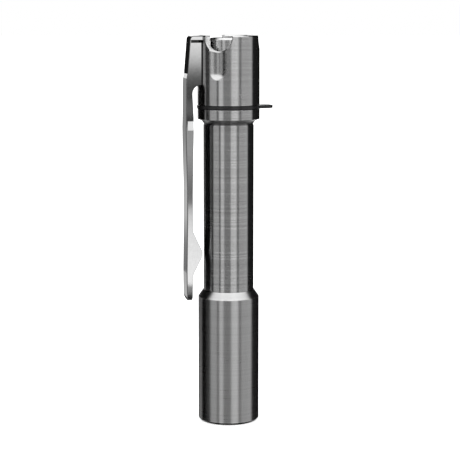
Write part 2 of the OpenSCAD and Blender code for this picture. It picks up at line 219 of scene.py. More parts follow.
def sheet_steel(name, base, rough):
    """Tumbled spring sheet: mottled grain, faint brushing along its length, a few rubs."""
    m, t, b = blank(name)
    mm, x, y, z = axes(t)[:4]
    v = node(t, "ShaderNodeVectorMath", {0: mm, 1: (1.0, 1.0, 0.12)}, operation="MULTIPLY").outputs[0]
    brush = noise3(t, v, 7.0, 3, 0.6)
    grain = noise3(t, mm, 9.0, 4, 0.7)
    mottle = noise3(t, mm, 1.3, 4, 0.6)
    value = product(t, centred(t, brush, 0.05), centred(t, grain, 0.10), centred(t, mottle, 0.10))
    t.links.new(tint(t, value, base), b.inputs["Base Color"])
    ro = calc(t, "MULTIPLY_ADD", calc(t, "SUBTRACT", mottle, 0.5), 0.05, rough)
    ro = calc(t, "MULTIPLY_ADD", calc(t, "SUBTRACT", grain, 0.5), 0.03, ro)
    ro = calc(t, "MAXIMUM", ro, 0.012)
    t.links.new(ro, b.inputs["Roughness"])
    b.inputs["Metallic"].default_value = 1.0
    h = calc(t, "ADD", calc(t, "MULTIPLY", grain, 0.10), calc(t, "MULTIPLY", mottle, 0.7))
    h = calc(t, "MULTIPLY_ADD", brush, 0.08, h)
    t.links.new(bump(t, h, 0.5e-6), b.inputs["Normal"])
    return m


def dull(name, base, rough, mottle=0.12, grain_scale=5.0, bump_um=8.0, coat=0.0, metallic=0.0, specks=0.0,
         speck_colour=(0.5, 0.5, 0.5), specular=None, stretch=(1.0, 1.0, 1.0)):
    """Plastic, rubber, lacquer or paint with a moulded grain and a varying gloss."""
    m, t, b = blank(name)
    mm = axes(t)[0]
    v = node(t, "ShaderNodeVectorMath", {0: mm, 1: stretch}, operation="MULTIPLY").outputs[0]
    grain = noise3(t, v, grain_scale, 4, 0.65)
    patch = noise3(t, mm, 0.5, 3, 0.5)
    value = product(t, centred(t, grain, mottle), centred(t, patch, mottle * 0.8))
    colour = tint(t, value, base)
    if specks:
        cells = node(t, "ShaderNodeTexVoronoi", {"Vector": mm, "Scale": 2.2}).outputs["Distance"]
        mask = step_map(t, cells, 0.10, 0.16, specks, 0.0)
        colour = mix_colour(t, mask, colour, speck_colour)
    t.links.new(colour, b.inputs["Base Color"])
    ro = calc(t, "MULTIPLY_ADD", calc(t, "SUBTRACT", grain, 0.5), 0.14, rough)
    ro = calc(t, "MULTIPLY_ADD", calc(t, "SUBTRACT", patch, 0.5), 0.12, ro, clamp=True)
    t.links.new(ro, b.inputs["Roughness"])
    b.inputs["Metallic"].default_value = metallic
    if coat:
        b.inputs["Coat Weight"].default_value = coat
        b.inputs["Coat Roughness"].default_value = 0.12
    if specular is not None:
        b.inputs["Specular IOR Level"].default_value = specular
    t.links.new(bump(t, grain, bump_um * 1e-6), b.inputs["Normal"])
    return m


def mix_colour(t, fac, a, b):
    n = t.nodes.new("ShaderNodeMix")
    n.data_type = "RGBA"
    t.links.new(fac, n.inputs[0])
    for i, v in ((6, a), (7, b)):
        if isinstance(v, bpy.types.NodeSocket):
            t.links.new(v, n.inputs[i])
        else:
            n.inputs[i].default_value = (*v[:3], 1)
    return n.outputs[2]


def board(name, base):
    """Solder mask over copper: faint tracks under the lacquer."""
    m, t, b = blank(name)
    mm = axes(t)[0]
    v = node(t, "ShaderNodeVectorMath", {0: mm, 1: (1.0, 1.0, 0.02)}, operation="MULTIPLY").outputs[0]
    cells = node(t, "ShaderNodeTexVoronoi", {"Vector": v, "Scale": 0.9}, feature="DISTANCE_TO_EDGE").outputs["Distance"]
    track = step_map(t, cells, 0.05, 0.09, 1.0, 0.0)
    grain = noise3(t, mm, 8.0, 3, 0.6)
    value = product(t, centred(t, grain, 0.10), calc(t, "MULTIPLY_ADD", track, 0.55, 1.0))
    t.links.new(tint(t, value, base), b.inputs["Base Color"])
    t.links.new(calc(t, "MULTIPLY_ADD", grain, 0.15, 0.28), b.inputs["Roughness"])
    t.links.new(bump(t, calc(t, "MULTIPLY_ADD", track, 0.8, calc(t, "MULTIPLY", grain, 0.2)), 2.5e-5), b.inputs["Normal"])
    return m


def glass(name):
    m, t, b = blank(name)
    mm = axes(t)[0]
    smear = noise3(t, mm, 0.35, 4, 0.6, 0.6)
    t.links.new(step_map(t, smear, 0.45, 0.8, 0.01, 0.07), b.inputs["Roughness"])
    t.links.new(tint(t, centred(t, smear, 0.02), (0.96, 0.985, 0.99)), b.inputs["Base Color"])
    b.inputs["Transmission Weight"].default_value = 1.0
    b.inputs["IOR"].default_value = 1.5
    t.links.new(bump(t, smear, 1.0e-6), b.inputs["Normal"])
    return m


def mirror(name):
    m, t, b = blank(name)
    mm = axes(t)[0]
    peel = noise3(t, mm, 2.4, 2, 0.5)
    dust = noise3(t, mm, 7.0, 4, 0.7)
    t.links.new(tint(t, centred(t, dust, 0.03), (0.9, 0.9, 0.915)), b.inputs["Base Color"])
    t.links.new(calc(t, "MULTIPLY_ADD", dust, 0.06, 0.02), b.inputs["Roughness"])
    b.inputs["Metallic"].default_value = 1.0
    t.links.new(bump(t, peel, 6.0e-6), b.inputs["Normal"])
    return m


def phosphor(name):
    """Yellow phosphor with a pale grey rim round it, under a clear coat."""
    m, t, b = blank(name)
    mm, x, y, z, r = axes(t)[:5]
    grain = noise3(t, mm, 12.0, 3, 0.6)
    rim = step_map(t, r, 1.22, 1.3)
    col = mix_colour(t, rim, tint(t, centred(t, grain, 0.12), (0.88, 0.70, 0.16)),
                     tint(t, centred(t, grain, 0.05), (0.82, 0.82, 0.80)))
    t.links.new(col, b.inputs["Base Color"])
    t.links.new(calc(t, "MULTIPLY_ADD", grain, 0.1, 0.22), b.inputs["Roughness"])
    b.inputs["Coat Weight"].default_value = 0.6
    b.inputs["Coat Roughness"].default_value = 0.05
    t.links.new(bump(t, grain, 3.0e-6), b.inputs["Normal"])
    return m


STEEL = (0.62, 0.62, 0.62)
steel_head = turned("turned_steel_head", (0.60, 0.60, 0.60), 0.30, aniso=0.92, fine=0.45)
steel_tube = turned("turned_steel_tube", (0.60, 0.60, 0.60), 0.24, ring=2.3, phase=31.0, fine=0.6)
# painted shade: the head's bottom chamfer gets a near-black base colour so that a dark line shows there
rim_painted_shade = turned("turned_rim_painted_shade", (0.12, 0.12, 0.12), 0.16, aniso=0.0, ring=0.6, phase=71.0, fine=0.5)
steel_tail = turned("turned_steel_tail", (0.62, 0.62, 0.62), 0.24, phase=57.0)
steel_button = turned("turned_steel_button", (0.60, 0.60, 0.60), 0.26, phase=83.0)
steel_mill = milled("milled_steel", (0.62, 0.62, 0.62), 0.15)
# painted shade: near-black base colour for the clip's rib, slits and inner faces, where little light reaches
inside_painted_shade = milled("clip_inside_painted_shade", (0.09, 0.09, 0.09), 0.4, (1.0, 1.0, 0.2), 4.0)
steel_flute = milled("milled_flute", (0.54, 0.54, 0.54), 0.26)
# painted highlight: a pale, partly non-metallic colour makes the notch walls read bright
notch_painted_light = milled("milled_notch_painted_light", (0.80, 0.80, 0.80), 0.45, (1.0, 1.0, 1.0), 5.0, 0.55)
steel_edge = milled("broken_edge", (0.50, 0.50, 0.50), 0.28, (1.0, 1.0, 1.0), 5.0)
steel_sheet = sheet_steel("clip_sheet", (0.66, 0.66, 0.66), 0.022)
# painted shade: a darker base colour along the rounded outer fold edges, so that a dark line shows there
fold_painted_shade = sheet_steel("clip_fold_painted_shade", (0.34, 0.34, 0.34), 0.16)
steel_bezel = turned("bezel_steel", (0.42, 0.42, 0.43), 0.30, phase=11.0)
steel_screw = turned("screw_steel", (0.30, 0.30, 0.31), 0.28, ring=0.6, phase=5.0)
paint_ring = dull("black_coat", (0.009, 0.009, 0.0095), 0.26, coat=0.25, bump_um=4.0, mottle=0.2, specular=0.45)
rubber = dull("nitrile", (0.018, 0.018, 0.018), 0.62, bump_um=9.0, mottle=0.2, grain_scale=7.0)
lens_glass = glass("lens_glass")
bowl_mirror = mirror("bowl_mirror")
white_nylon = dull("white_nylon", (0.82, 0.82, 0.80), 0.48, mottle=0.05)
led_yellow = phosphor("led_phosphor")
led_white = dull("white_mask", (0.84, 0.84, 0.83), 0.36, mottle=0.05, metallic=0.0, grain_scale=8.0, bump_um=3.0)
brass = turned("turned_brass", (0.72, 0.52, 0.24), 0.26, phase=3.0)
wire_red = dull("red_silicone", (0.52, 0.05, 0.04), 0.45, mottle=0.10)
pcb = board("green_mask", (0.02, 0.17, 0.07))
epoxy = dull("black_epoxy", (0.03, 0.03, 0.032), 0.5, grain_scale=14.0, bump_um=5.0)
gold = turned("gold_wire", (0.86, 0.62, 0.26), 0.22, aniso=0.0, ring=0.6, phase=19.0)
nickel = turned("nickel_plate", (0.66, 0.65, 0.63), 0.25, phase=43.0)
wrap = dull("shrink_sleeve", (0.05, 0.10, 0.22), 0.30, mottle=0.08, coat=0.4, stretch=(1.0, 1.0, 0.15), bump_um=6.0)
nylon = dull("black_nylon", (0.028, 0.028, 0.03), 0.5, grain_scale=9.0)

SLOT_LOOK = {"turned_steel": steel_tube, "clip_steel": steel_sheet, "bezel_steel": steel_bezel, "screw_steel": steel_screw,
             "black_ring": paint_ring, "black_rubber": rubber, "glass": lens_glass, "reflector_coat": bowl_mirror,
             "white_plastic": white_nylon, "led_phosphor": led_yellow, "led_board_face": led_white, "brass": brass,
             "wire_red": wire_red, "circuit_board": pcb, "component_black": epoxy, "gold_spring": gold,
             "cell_metal": nickel, "cell_wrap": wrap, "black_plastic": nylon}
SLOT_OF = {s["node"]: s["material_slot"] for s in frame["record"]["subparts"]}
BODY_OF = {n: b for b, ns in frame["record"]["behaviour"]["bodies"].items() for n in ns}

# ---------------------------------------------------------------- turned shapes


def unit(v):
    return v / max(1e-12, float(np.linalg.norm(v)))


def stations(profile, seg=3, grade=True):
    """Corners of a closed (r, z) outline as (r, z, normal before, normal after, wear).
    A corner may carry a fillet radius, or "s" where it is only a point on a curve."""
    P = [np.array(p[:2], float) for p in profile]
    F = [p[2] if len(p) > 2 else 0.0 for p in profile]
    n = len(P)
    if sum(P[i][0] * P[(i + 1) % n][1] - P[(i + 1) % n][0] * P[i][1] for i in range(n)) < 0:
        P, F = P[::-1], F[::-1]
    out = []
    for i in range(n):
        a, b, c = P[i - 1], P[i], P[(i + 1) % n]
        u, v = unit(b - a), unit(c - b)
        nu, nv = np.array([u[1], -u[0]]), np.array([v[1], -v[0]])
        cross, dot = u[0] * v[1] - u[1] * v[0], float(np.clip(u @ v, -1, 1))
        turn = math.acos(dot)
        if F[i] == "s":
            m = unit(nu + nv)
            out.append((b, m, m, 0.0))
        elif F[i] and turn > 0.05:
            tl = min(F[i] * math.tan(turn / 2), 0.45 * np.linalg.norm(b - a), 0.45 * np.linalg.norm(c - b))
            f = tl / math.tan(turn / 2)
            side = 1.0 if cross > 0 else -1.0
            start = b - u * tl
            centre = start - nu * f * side
            long_in, long_out = np.linalg.norm(b - a) > 1.2, np.linalg.norm(c - b) > 1.2
            w = 1.0 if cross > 0 else 0.0
            if grade and long_in and w:
                out.append((b - u * (tl + 0.35), nu, nu, 0.0))
            for k in range(seg + 1):
                nk = unit(nu * (1 - k / seg) + nv * (k / seg))
                out.append((centre + nk * f * side, nk, nk, w))
            if grade and long_out and w:
                out.append((b + v * (tl + 0.35), nv, nv, 0.0))
        else:
            out.append((b, nu, nv, 0.0))
    return out


def mesh_from(name, verts, faces, normals=None, wear=None, mats=(), index=None):
    """A mesh in metres from millimetre vertices, with one normal for each face corner."""
    me = bpy.data.meshes.new(name)
    me.from_pydata([tuple(float(c) * MM for c in v) for v in verts], [], [tuple(int(i) for i in f) for f in faces])
    for m in mats:
        me.materials.append(m)
    me.polygons.foreach_set("use_smooth", [True] * len(me.polygons))
    if index is not None:
        me.polygons.foreach_set("material_index", index)
    if wear is not None:
        at = me.attributes.new("wear", "FLOAT", "POINT")
        at.data.foreach_set("value", [float(w) for w in wear])
    me.update()
    if normals is not None:
        me.normals_split_custom_set([tuple(float(c) for c in n) for n in normals])
    return me


def add(name, me):
    o = bpy.data.objects.new(name, me)
    scene.collection.objects.link(o)
    return o


def spin(name, profile, mats, segs=144, seg=3, index=0, fine=None):
    """A turned solid with exact normals."""
    st = stations(profile, seg)
    verts, ring, wear = [], [], []
    cs = [(math.cos(2 * math.pi * k / segs), math.sin(2 * math.pi * k / segs)) for k in range(segs)]
    for p, _, _, w in st:
        first = len(verts)
        if abs(p[0]) < 1e-6:
            verts.append((0, 0, p[1]))
            wear.append(w)
            ring.append([first] * segs)
        else:
            verts += [(p[0] * c, p[0] * s, p[1]) for c, s in cs]
            wear += [w] * segs
            ring.append(list(range(first, first + segs)))
    faces, normals = [], []
    n = len(st)
    for i in range(n):
        j = (i + 1) % n
        pi, pj = st[i][0], st[j][0]
        if (abs(pi[0]) < 1e-6 and abs(pj[0]) < 1e-6) or np.linalg.norm(pi - pj) < 1e-7:
            continue
        na, nb = st[i][2], st[j][1]
        for k in range(segs):
            l = (k + 1) % segs
            quad = [(ring[i][k], na, k), (ring[i][l], na, l), (ring[j][l], nb, l), (ring[j][k], nb, k)]
            if abs(pi[0]) < 1e-6:
                quad = [quad[0], quad[2], quad[3]]
            elif abs(pj[0]) < 1e-6:
                quad = [quad[0], quad[1], quad[2]]
            faces.append([q[0] for q in quad])
            normals += [(q[1][0] * cs[q[2]][0], q[1][0] * cs[q[2]][1], q[1][1]) for q in quad]
    return mesh_from(name, verts, faces, normals, wear, mats, [index] * len(faces)), st


def slab(name, outline, z0, z1, mats, index=0):
    """A plain prism, used as a cutter or as a blank."""
    n = len(outline)
    area = sum(outline[i][0] * outline[(i + 1) % n][1] - outline[(i + 1) % n][0] * outline[i][1] for i in range(n))
    pts = list(outline) if area > 0 else list(outline)[::-1]
    verts = [(x, y, z0) for x, y in pts] + [(x, y, z1) for x, y in pts]
    faces = [list(range(n))[::-1], list(range(n, 2 * n))] + [[i, (i + 1) % n, (i + 1) % n + n, i + n] for i in range(n)]
    return mesh_from(name, verts, faces, None, None, mats, [index] * len(faces))


def upright(me):
    """Turns a prism made in (x, z) so that its depth runs along y."""
    me.transform(Matrix(((1, 0, 0, 0), (0, 0, -1, 0), (0, 1, 0, 0), (0, 0, 0, 1))))
    return me


def carve(target, tools, solver="EXACT"):
    """target with each (operation, mesh, matrix) applied in turn, as a new mesh."""
    o = add("blank", target)
    made = []
    for op, me, mat in tools:
        c = add("tool", me)
        c.matrix_world = mat
        c.hide_render = True
        made.append(c)
        mod = o.modifiers.new(op, "BOOLEAN")
        mod.operation, mod.object, mod.solver = op, c, solver
        mod.material_mode = "INDEX"
    bpy.context.view_layer.update()
    me = bpy.data.meshes.new_from_object(o.evaluated_get(bpy.context.evaluated_depsgraph_get()))
    for c in made + [o]:
        bpy.data.objects.remove(c, do_unlink=True)
    return me


def weld(me, dist=2e-8):
    bm = bmesh.new()
    bm.from_mesh(me)
    bmesh.ops.remove_doubles(bm, verts=bm.verts, dist=dist)
    bmesh.ops.dissolve_degenerate(bm, edges=bm.edges, dist=dist)
    bm.to_mesh(me)
    bm.free()
    me.update()
    return me


def recut_normals(me, st, rule):
    """Exact normals for a turned shape after cutting. Faces with material 0 are the turned ones; rule(index, point, face normal) answers for the others."""
    soft = [(s[0][0], s[0][1], s[1]) for s in st if s[1] is s[2] or np.allclose(s[1], s[2])]
    table = {}
    for r, z, nn in soft:
        table.setdefault((round(r, 3), round(z, 3)), nn)
    me.polygons.foreach_set("use_smooth", [True] * len(me.polygons))
    out = [None] * len(me.loops)
    for p in me.polygons:
        fn = np.array(p.normal)
        c = np.array(p.center) / MM
        th = math.atan2(c[1], c[0])
        nr, nz = fn[0] * math.cos(th) + fn[1] * math.sin(th), fn[2]
        for li in p.loop_indices:
            v = np.array(me.vertices[me.loops[li].vertex_index].co) / MM
            if p.material_index == 0:
                r = math.hypot(v[0], v[1])
                q = table.get((round(r, 3), round(v[2], 3)))
                if q is not None and q[0] * nr + q[1] * nz < 0.8:
                    q = None
                a, b = (q[0], q[1]) if q is not None else (nr, nz)
                k = math.hypot(a, b)
                a, b = (a / k, b / k) if k > 1e-9 else (0.0, 1.0 if nz >= 0 else -1.0)
                if r < 1e-6:
                    out[li] = (0.0, 0.0, 1.0 if nz >= 0 else -1.0)
                else:
                    out[li] = (a * v[0] / r, a * v[1] / r, b)
            else:
                nn = rule(p.material_index, v, fn)
                out[li] = tuple(nn) if nn is not None else tuple(fn)
    me.normals_split_custom_set(out)
    return me


def by_angle(me, angle=32.0):
    me.polygons.foreach_set("use_smooth", [True] * len(me.polygons))
    me.set_sharp_from_angle(angle=math.radians(angle))
    return me


def piece(name, me, *nodes_, slot=None):
    """Puts a finished mesh in place of the CAD nodes it stands for."""
    o = add(name, me)
    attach(o, BODY_OF[nodes_[0]])
    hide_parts(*nodes_)
    return o


def turn(name, profile, mat, node_name, segs=96, seg=3):
    return piece(name, spin(name, profile, [mat], segs, seg)[0], node_name)


def arc(cx, cz, r, a0, a1, n):
    return [(cx + r * math.cos(math.radians(a0 + (a1 - a0) * i / n)), cz + r * math.sin(math.radians(a0 + (a1 - a0) * i / n)))
            for i in range(n + 1)]


def smooth_run(points):
    return [(p[0], p[1], "s") for p in points]


I4 = Matrix.Identity(4)


def move(x=0.0, y=0.0, z=0.0):
    return Matrix.Translation(Vector((x, y, z)) * MM)


def turnz(deg):
    return Matrix.Rotation(math.radians(deg), 4, "Z")


# ---------------------------------------------------------------- head

head_me = spin("head_barrel", [
    (6.6, 0, .1), (7.0, 0, .1), (7.4, .48, .1), (7.4, 30.8, .25), (6.21, 32.5, .1), (6.16, 32.42, .03), (6.16, 30),
    (5.85, 29.9), (5.85, 26.1), (6.2, 26), (6.2, 14.5), (6.3, 14.4), (6.3, 3.2), (6.5, 3.2), (6.5, .2, .05)],
    [steel_head, rim_painted_shade], 160)[0]
# the bottom chamfer faces take the painted-shade rim steel
for p in head_me.polygons:
    if p.center.z < .49 * MM and math.hypot(p.center.x, p.center.y) > 6.9 * MM:
        p.material_index = 1
piece("head_barrel", head_me, "head_shell")

bezel_me, bezel_st = spin("bezel", [(6, .35, .06), (6.35, .35, .04), (6.46, .46), (6.46, 1.6), (5.6, 1.6), (5.6, 1.45, .05)],
                          [steel_bezel, steel_mill], 96)
slot_tool = slab("slot_tool", [(5, -.5), (7, -.5), (7, .5), (5, .5)], 0, .75, [steel_bezel, steel_mill], 1)
bezel_me = carve(bezel_me, [("DIFFERENCE", slot_tool, I4), ("DIFFERENCE", slot_tool, turnz(180))])
recut_normals(bezel_me, bezel_st, lambda i, v, f: f)
piece("bezel", bezel_me, "bezel_ring")

turn("front_gasket", [(5.65, 1.62, .1), (6.4, 1.62, .1), (6.4, 1.93, .1), (5.65, 1.93, .1)], rubber, "lens_gasket")
turn("front_lens", [(0, 1.95), (6.28, 1.95, .03), (6.38, 2.05, .03), (6.38, 3.05, .03), (6.28, 3.15, .03), (0, 3.15)],
     lens_glass, "lens", 96)

four_f, front_z, mouth, hole = 3.3, 3.17, 5.75, 2.0
vertex_z = front_z + mouth ** 2 / four_f
bowl = [(mouth + (hole - mouth) * i / 28, vertex_z - (mouth + (hole - mouth) * i / 28) ** 2 / four_f) for i in range(29)]
turn("reflector_bowl", [(bowl[0][0], bowl[0][1])] + smooth_run(bowl[1:-1]) + [bowl[-1],
     (hole, 12.6), (3.4, 12.6, .1), (4.2, 11.4, .2), (5.2, 9, .3), (5.9, 6, .4), (6.1, 4.3), (6.26, 4.2), (6.26, front_z, .03)],
     bowl_mirror, "reflector", 120)
turn("centring_spacer", [(2.15, 12.63, .08), (3.6, 12.63, .08), (3.6, 13.37, .08), (2.15, 13.37, .08)], white_nylon, "led_spacer")

# emitter: square base with the dome moulded on
base_bm = bmesh.new()
bmesh.ops.create_cube(base_bm, size=1.0)
bmesh.ops.scale(base_bm, vec=(3 * MM, 3 * MM, .6 * MM), verts=base_bm.verts)
bmesh.ops.translate(base_bm, vec=(0, 0, 13.1 * MM), verts=base_bm.verts)
bmesh.ops.bevel(base_bm, geom=base_bm.edges[:], offset=.06 * MM, segments=2, affect="EDGES", profile=0.5)
base_me = bpy.data.meshes.new("emitter_base")
base_bm.to_mesh(base_me)
base_bm.free()
base_me.materials.append(led_yellow)
dome_me = spin("dome", [(0, 11.75)] + smooth_run(arc(0, 12.95, 1.2, -90, -2.4, 14)[1:]) + [(1.2, 13.0), (0, 13.0)], [led_yellow], 64)[0]
piece("emitter", by_angle(carve(base_me, [("UNION", dome_me, I4)])), "led_emitter")

hole_tool = spin("hole_tool", [(0, 13), (.7, 13), (.7, 15), (0, 15)], [led_white], 40)[0]
led_board_me, lb_st = spin("lb", [(0, 13.4), (5.4, 13.4, .08), (5.4, 14.4, .08), (0, 14.4)], [led_white, led_white], 96)
led_board_me = carve(led_board_me, [("DIFFERENCE", hole_tool, move(4.3) @ turnz(4.5)), ("DIFFERENCE", hole_tool, move(-4.3) @ turnz(4.5))])
piece("emitter_board", by_angle(led_board_me), "led_board")

lead_a = spin("lead", [(0, 13.5), (.45, 13.5, .06), (.45, 23.48, .06), (0, 23.48)], [wire_red], 32)[0]
lead_bm = bmesh.new()
for s in (-1, 1):
    part = lead_a.copy()
    part.transform(move(4.3 * s))
    lead_bm.from_mesh(part)
lead_me = bpy.data.meshes.new("leads")
lead_bm.to_mesh(lead_me)
lead_bm.free()
lead_me.materials.append(wire_red)
piece("emitter_leads", by_angle(lead_me), "led_leads")

sink_me, sink_st = spin("sink", [(0, 14.42), (6, 14.42, .05), (6.15, 14.57, .05), (6.15, 25.9, .05), (5.45, 25.9, .05), (5.45, 23.5),
                                 (5, 23.5, .08), (5, 18.5), (0, 18.5)], [brass, brass], 96)
wire_way = spin("way", [(0, 14), (.6, 14), (.6, 19), (0, 19)], [brass, brass], 32)[0]
piece("heat_sink_body", by_angle(carve(sink_me, [("DIFFERENCE", wire_way, move(4.3) @ turnz(5.6)),
                                                 ("DIFFERENCE", wire_way, move(-4.3) @ turnz(5.6))])), "heat_sink")

turn("driver_disc", [(0, 23.52), (5.42, 23.52, .05), (5.42, 24.42, .05), (0, 24.42)], pcb, "driver_board")

ring_me, _ = spin("dr", [(4.5, 24.44, .08), (5.4, 24.44, .08), (5.4, 25.88, .08), (4.5, 25.88, .08)], [brass, brass], 96)
spanner = slab("spanner", [(4, -.5), (6, -.5), (6, .5), (4, .5)], 25.2, 26.2, [brass, brass], 1)
piece("driver_retainer", by_angle(carve(ring_me, [("DIFFERENCE", spanner, turnz(90)), ("DIFFERENCE", spanner, turnz(270))])), "driver_ring")


def bevelled_box(x, y, z, sx, sy, sz, width):
    bm = bmesh.new()
    bmesh.ops.create_cube(bm, size=1.0)
    bmesh.ops.scale(bm, vec=(sx * MM, sy * MM, sz * MM), verts=bm.verts)
    bmesh.ops.translate(bm, vec=((x + sx / 2) * MM, (y + sy / 2) * MM, (z + sz / 2) * MM), verts=bm.verts)
    bmesh.ops.bevel(bm, geom=bm.edges[:], offset=width * MM, segments=2, affect="EDGES", profile=0.5)
    return bm


parts_me = bpy.data.meshes.new("parts")
parts_bm = bmesh.new()
coil_me = spin("coil_core", [(.8, 21.2, .12), (1.7, 21.2, .2), (1.7, 23.5, .1), (0, 23.5), (0, 22.2), (.8, 22.2)], [epoxy], 48)[0]
coil_me.transform(move(.6, 1.9))
parts_bm.from_mesh(coil_me)
for b in ((-2.2, -2.6, 22.6, 2, 2, .9), (.8, -2.4, 22.7, 1.6, .8, .8), (-3, .6, 22.7, .8, 1.6, .8)):
    bb = bevelled_box(*b, .07)
    tmp = bpy.data.meshes.new("tmp")
    bb.to_mesh(tmp)
    bb.free()
    parts_bm.from_mesh(tmp)
parts_bm.to_mesh(parts_me)
parts_bm.free()
parts_me.materials.append(epoxy)
piece("driver_components", by_angle(parts_me), "driver_parts")


def coil_mesh(name, r0, r1, z0, z1, turns, wire, mat, steps=36, sides=12):
    """Round spring wire with closed end turns and flat-capped tips."""
    n = int(turns * steps)
    height = z1 - z0
    e = 0.5 * wire * 2.1 / height

    def lift(q):
        u, d = q * turns, 0.75
        if u < d:
            return e * u / d
        if u > turns - d:
            return 1 - e * (turns - u) / d
        return e + (1 - 2 * e) * (u - d) / (turns - 2 * d)

    verts, faces = [], []
    for q in [i / n for i in range(n + 1)]:
        a, r, z = 2 * math.pi * turns * q, r0 + (r1 - r0) * q, z0 + wire + (height - 2 * wire) * lift(q)
        for j in range(sides):
            b = 2 * math.pi * j / sides
            rr = r + wire * math.cos(b)
            verts.append((rr * math.cos(a), rr * math.sin(a), z + wire * math.sin(b)))
    for i in range(n):
        for j in range(sides):
            p, q = i * sides + j, i * sides + (j + 1) % sides
            faces.append([p, p + sides, q + sides, q])
    faces.append(list(range(sides)))
    faces.append([n * sides + j for j in range(sides)][::-1])
    me = mesh_from(name, verts, faces, None, None, [mat])
    bm = bmesh.new()
    bm.from_mesh(me)
    bmesh.ops.recalc_face_normals(bm, faces=bm.faces)
    bm.to_mesh(me)
    bm.free()
    return by_angle(me, 50)


piece("positive_spring", coil_mesh("ps", 2.2, 1.6, 24.45, 33.65, 7, .28, gold), "contact_spring")


def torus(name, r, wire, z, node_name):
    pts = [(r + wire * math.cos(2 * math.pi * i / 24), z + wire * math.sin(2 * math.pi * i / 24), "s") for i in range(24)]
    return turn(name, pts, rubber, node_name, 96)


torus("head_o_ring_seal", 5.74, .38, 30.75, "head_seal")

# ---------------------------------------------------------------- tube and cell


def crests(root, crest, z0, n, pitch=.75):
    out = []
    for i in range(n):
        out += [(root, z0 + i * pitch), (crest, z0 + (i + .36) * pitch, .04), (crest, z0 + (i + .5) * pitch, .04),
                (root, z0 + (i + .86) * pitch)]
    return out


neck = arc(7.94, 71.92, 2.22, 155, 102, 10)
turn("tube_body", [(4.2, 25.95, .05), (5.35, 25.95, .05), (5.45, 26.1, .05)] + crests(5.45, 5.8, 26.3, 4) + [
    (5.45, 29.6, .05), (5.9, 29.95, .05), (5.9, 30.25, .05), (5.35, 30.25, .05), (5.35, 31.25, .05), (6.0, 31.25, .05),
    (6.1, 31.35, .05), (6.1, 72.7, .03), (6.0, 72.78), neck[0]] + smooth_run(neck[1:-1]) + [neck[-1],
    (7.5, 74.1, .1), (7.5, 76.43, .1), (7.38, 76.55, .05), (6.78, 76.55), (6.78, 77.85, .04), (5.96, 77.85, .05), (5.96, 78.85, .05),
    (6.78, 78.85, .04), (6.78, 79.1, .04), (6.35, 79.25, .04)] + crests(6.35, 6.72, 79.3, 4) + [
    (6.35, 82.65, .04), (6.15, 82.9, .05), (5.35, 82.9, .06), (5.35, 33.4, .05), (4.2, 33.4, .05)],
    steel_tube, "body_tube", 128, 2)

turn("cell_nub", [(0, 33.7), (1.7, 33.7, .2), (1.9, 33.9, .1), (1.9, 34.5, .1), (0, 34.5)], nickel, "cell_cap", 64)
turn("cell_case", [(0, 34.5), (4.6, 34.5, .2), (5, 34.9, .2), (5, 77.8, .2), (4.6, 78.2, .2), (0, 78.2)], nickel, "cell_can", 96)
turn("cell_wrap_sleeve", [(5.02, 34.8, .05), (5.25, 34.8, .1), (5.25, 77.9, .1), (5.02, 77.9, .05)], wrap, "cell_sleeve", 96)
torus("tail_o_ring_seal", 6.4, .41, 78.35, "tail_seal")


def plate(name, loops, z0, z1, edge, mats, seg=2):
    """A flat plate from closed outlines, the first the outside and the rest holes, with rounded edges."""
    verts, faces, inner = [], [], []
    for li, loop in enumerate(loops):
        pts = [Vector((p[0], p[1], 0)) for p in loop]
        n = len(pts)
        area = sum(pts[i].x * pts[(i + 1) % n].y - pts[(i + 1) % n].x * pts[i].y for i in range(n))
        if (area > 0) != (li == 0):
            pts = pts[::-1]
        nrm = []
        for i in range(n):
            d1, d2 = (pts[i] - pts[i - 1]).normalized(), (pts[(i + 1) % n] - pts[i]).normalized()
            m = (Vector((d1.y, -d1.x, 0)) + Vector((d2.y, -d2.x, 0))).normalized()
            c = max(0.5, m.dot(Vector((d1.y, -d1.x, 0))))
            nrm.append(m / c)
        levels = []
        for k in range(seg + 1):
            a = math.pi / 2 * k / seg
            levels.append((edge * (1 - math.sin(a)), z0 + edge * (1 - math.cos(a))))
        for k in range(seg + 1):
            a = math.pi / 2 * k / seg
            levels.append((edge * (1 - math.cos(a)), z1 - edge * (1 - math.sin(a))))
        rows = []
        for inset, z in levels:
            rows.append(list(range(len(verts), len(verts) + n)))
            verts += [(p.x - q.x * inset, p.y - q.y * inset, z) for p, q in zip(pts, nrm)]
        for a, b in zip(rows[:-1], rows[1:]):
            for i in range(n):
                j = (i + 1) % n
                faces.append([a[i], a[j], b[j], b[i]])
        inner.append((rows[0], rows[-1], [pts[i] - nrm[i] * edge for i in range(n)]))
    tris = tessellate_polygon([q[2] for q in inner])
    low = [i for q in inner for i in q[0]]
    high = [i for q in inner for i in q[1]]
    for a, b, c in tris:
        pa, pb, pc = (Vector(verts[high[i]]) for i in (a, b, c))
        if (pb - pa).cross(pc - pa).z < 0:
            b, c = c, b
        faces.append([high[a], high[b], high[c]])
        faces.append([low[a], low[c], low[b]])
    return weld(mesh_from(name, verts, faces, None, None, mats))


ring_r = 7.62
a_in = math.asin(2.72 / ring_r)
outline = [(8.6 + 2.2 * math.cos(math.radians(a)), 2.2 * math.sin(math.radians(a))) for a in np.linspace(-80, 80, 33)]
outline += [(ring_r * math.cos(a), ring_r * math.sin(a)) for a in np.linspace(a_in, 2 * math.pi - a_in, 121)]
bore = [(6.85 * math.cos(a), 6.85 * math.sin(a)) for a in np.linspace(0, 2 * math.pi, 129)[:-1]]
eye = [(9.05 + 1.1 * math.cos(a), 1.1 * math.sin(a)) for a in np.linspace(0, 2 * math.pi, 41)[:-1]]
piece("ring_and_tab", by_angle(plate("ring", [outline, bore, eye], 76.6, 77.35, .09, [paint_ring]), 28), "lanyard_ring")
